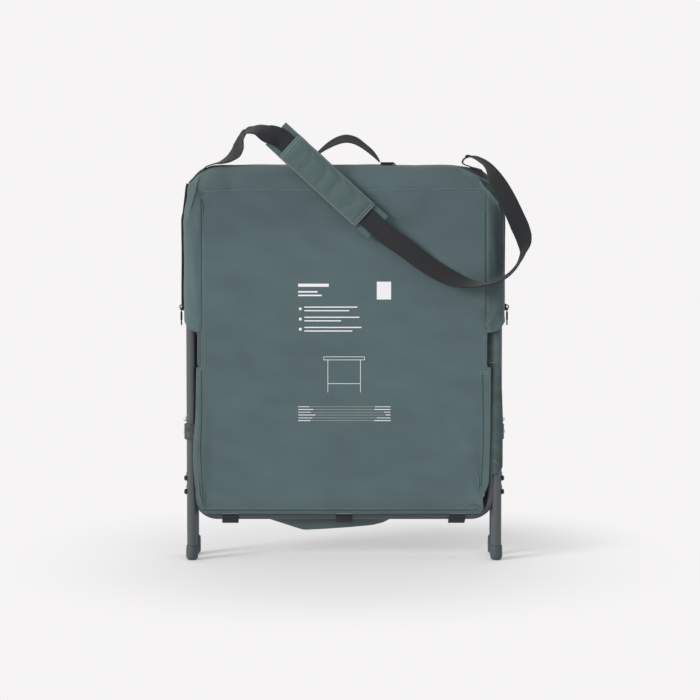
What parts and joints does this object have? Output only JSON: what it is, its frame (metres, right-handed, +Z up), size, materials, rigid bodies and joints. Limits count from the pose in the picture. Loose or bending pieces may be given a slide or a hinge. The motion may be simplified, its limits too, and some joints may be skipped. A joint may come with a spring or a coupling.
{
  "type": "folding camping kitchen unit",
  "caption": "Camping kitchen unit folded flat: tube frames and boards under a zipped fabric cover, with a carrying handle, a shoulder strap and a sliding pad.",
  "frame": {"origin": "on the ground, in the middle between the four feet, with the unit folded", "axes": "+Z up, -Y the front with the wide panel, +X to the right as seen from the front"},
  "size_m": [0.6914, 0.1395, 0.8649],
  "materials": {
    "frame_paint": "satin dark grey powder coat",
    "cap_plastic": "fine grained",
    "black_plastic": "moulded",
    "black_steel": "black",
    "pale_steel": "zinc plated",
    "cover_fabric": "coated plain weave",
    "pad_fabric": "coated plain weave",
    "webbing": "woven webbing",
    "board": "laminated"
  },
  "bodies": {
    "front_frame": {"front_leg_left": "frame_paint", "front_foot_cap_left": "cap_plastic", "front_collar_left": "black_plastic", "front_lower_pivot_left": "pale_steel", "front_upper_pivot_left": "pale_steel", "front_bar_screw_left_1": "black_steel", "front_bar_screw_left_2": "black_steel", "front_leg_right": "frame_paint", "front_foot_cap_right": "cap_plastic", "front_collar_right": "black_plastic", "front_lower_pivot_right": "pale_steel", "front_upper_pivot_right": "pale_steel", "front_bar_screw_right_1": "black_steel", "front_bar_screw_right_2": "black_steel", "front_top_bow": "frame_paint", "front_lower_bar": "frame_paint", "cover_front": "cover_fabric", "bar_tab_left": "webbing", "bar_tab_middle": "webbing", "bar_tab_right": "webbing", "handle_end_left": "webbing", "handle_end_right": "webbing", "shoulder_strap": "webbing", "worktop_leaf_front": "board", "worktop_leaf_rear": "board", "worktop_hinge_strip": "black_plastic", "shelf_board": "board", "fabric_body": "cover_fabric", "body_side_right": "cover_fabric"},
    "lower_rail_front_left": {"lower_rail_front_left": "frame_paint"},
    "lower_rail_rear_left": {"lower_rail_rear_left": "frame_paint"},
    "lower_rail_front_right": {"lower_rail_front_right": "frame_paint"},
    "lower_rail_rear_right": {"lower_rail_rear_right": "frame_paint"},
    "upper_rail_front_left": {"upper_rail_front_left": "frame_paint"},
    "upper_rail_rear_left": {"upper_rail_rear_left": "frame_paint"},
    "upper_rail_front_right": {"upper_rail_front_right": "frame_paint"},
    "upper_rail_rear_right": {"upper_rail_rear_right": "frame_paint"},
    "rear_frame": {"rear_leg_left": "frame_paint", "rear_foot_cap_left": "cap_plastic", "rear_collar_left": "black_plastic", "rear_lower_pivot_left": "pale_steel", "rear_upper_pivot_left": "pale_steel", "rear_bar_screw_left_1": "black_steel", "rear_bar_screw_left_2": "black_steel", "rear_leg_right": "frame_paint", "rear_foot_cap_right": "cap_plastic", "rear_collar_right": "black_plastic", "rear_lower_pivot_right": "pale_steel", "rear_upper_pivot_right": "pale_steel", "rear_bar_screw_right_1": "black_steel", "rear_bar_screw_right_2": "black_steel", "rear_top_bow": "frame_paint", "rear_lower_bar": "frame_paint", "cover_rear": "cover_fabric"},
    "zip_slider_left": {"zip_slider_left": "black_steel"},
    "zip_pull_left": {"zip_pull_left": "black_plastic"},
    "zip_slider_right": {"zip_slider_right": "black_steel"},
    "zip_pull_right": {"zip_pull_right": "black_plastic"},
    "shoulder_pad": {"shoulder_pad": "pad_fabric"},
    "grab_handle": {"grab_handle": "webbing"}
  },
  "joints": [
    {"name": "lower_rail_hinge_right", "type": "hinge", "parent": "front_frame", "child": "lower_rail_front_right", "pos_m": [0.2889, -0.03, 0.28], "axis": [-1, 0, 0], "range_deg": [0, 79.5]},
    {"name": "lower_rail_elbow_right", "type": "hinge", "parent": "lower_rail_front_right", "child": "lower_rail_rear_right", "pos_m": [0.2889, 0, 0.44936], "axis": [-1, 0, 0], "range_deg": [-159.2, 0]},
    {"name": "lower_rail_hinge_left", "type": "hinge", "parent": "front_frame", "child": "lower_rail_front_left", "pos_m": [-0.2889, -0.03, 0.28], "axis": [-1, 0, 0], "range_deg": [0, 79.6]},
    {"name": "lower_rail_elbow_left", "type": "hinge", "parent": "lower_rail_front_left", "child": "lower_rail_rear_left", "pos_m": [-0.2889, 0, 0.44936], "axis": [-1, 0, 0], "range_deg": [-159.2, 0]},
    {"name": "upper_rail_hinge_right", "type": "hinge", "parent": "front_frame", "child": "upper_rail_front_right", "pos_m": [0.2889, -0.03, 0.64], "axis": [1, 0, 0], "range_deg": [0, 79.6]},
    {"name": "upper_rail_elbow_right", "type": "hinge", "parent": "upper_rail_front_right", "child": "upper_rail_rear_right", "pos_m": [0.2889, 0, 0.47064], "axis": [1, 0, 0], "range_deg": [-159.2, 0]},
    {"name": "upper_rail_hinge_left", "type": "hinge", "parent": "front_frame", "child": "upper_rail_front_left", "pos_m": [-0.2889, -0.03, 0.64], "axis": [1, 0, 0], "range_deg": [0, 79.6]},
    {"name": "upper_rail_elbow_left", "type": "hinge", "parent": "upper_rail_front_left", "child": "upper_rail_rear_left", "pos_m": [-0.2889, 0, 0.47064], "axis": [1, 0, 0], "range_deg": [-159.2, 0]},
    {"name": "rear_frame_hinge", "type": "hinge", "parent": "lower_rail_rear_right", "child": "rear_frame", "pos_m": [0.2856, 0.03, 0.28], "axis": [-1, 0, 0], "range_deg": [0, 79.6]},
    {"name": "zip_slide_left", "type": "slide", "parent": "front_frame", "child": "zip_slider_left", "axis": [0, 0, 1], "range_m": [0, 0.165]},
    {"name": "zip_pull_hinge_left", "type": "hinge", "parent": "zip_slider_left", "child": "zip_pull_left", "pos_m": [-0.32355, 0.016, 0.49475], "axis": [0, 1, 0], "range_deg": [0, 160]},
    {"name": "zip_slide_right", "type": "slide", "parent": "front_frame", "child": "zip_slider_right", "axis": [0, 0, 1], "range_m": [0, 0.165]},
    {"name": "zip_pull_hinge_right", "type": "hinge", "parent": "zip_slider_right", "child": "zip_pull_right", "pos_m": [0.32355, 0.016, 0.49475], "axis": [0, -1, 0], "range_deg": [0, 160]},
    {"name": "pad_slide", "type": "slide", "parent": "front_frame", "child": "shoulder_pad", "axis": [0.7364, -0.0489, -0.6748], "range_m": [-0.008, 0.008]},
    {"name": "handle_tilt", "type": "hinge", "parent": "front_frame", "child": "grab_handle", "pos_m": [0.003, 0, 0.785], "axis": [-1, 0, 0], "range_deg": [0, 50]}
  ],
  "couplings": [
    {"joint": "lower_rail_elbow_right", "follows": "lower_rail_hinge_right", "ratio": -2},
    {"joint": "lower_rail_hinge_left", "follows": "lower_rail_hinge_right", "ratio": 1},
    {"joint": "lower_rail_elbow_left", "follows": "lower_rail_hinge_right", "ratio": -2},
    {"joint": "upper_rail_hinge_right", "follows": "lower_rail_hinge_right", "ratio": 1},
    {"joint": "upper_rail_elbow_right", "follows": "lower_rail_hinge_right", "ratio": -2},
    {"joint": "upper_rail_hinge_left", "follows": "lower_rail_hinge_right", "ratio": 1},
    {"joint": "upper_rail_elbow_left", "follows": "lower_rail_hinge_right", "ratio": -2},
    {"joint": "rear_frame_hinge", "follows": "lower_rail_hinge_right", "ratio": 1}
  ]
}
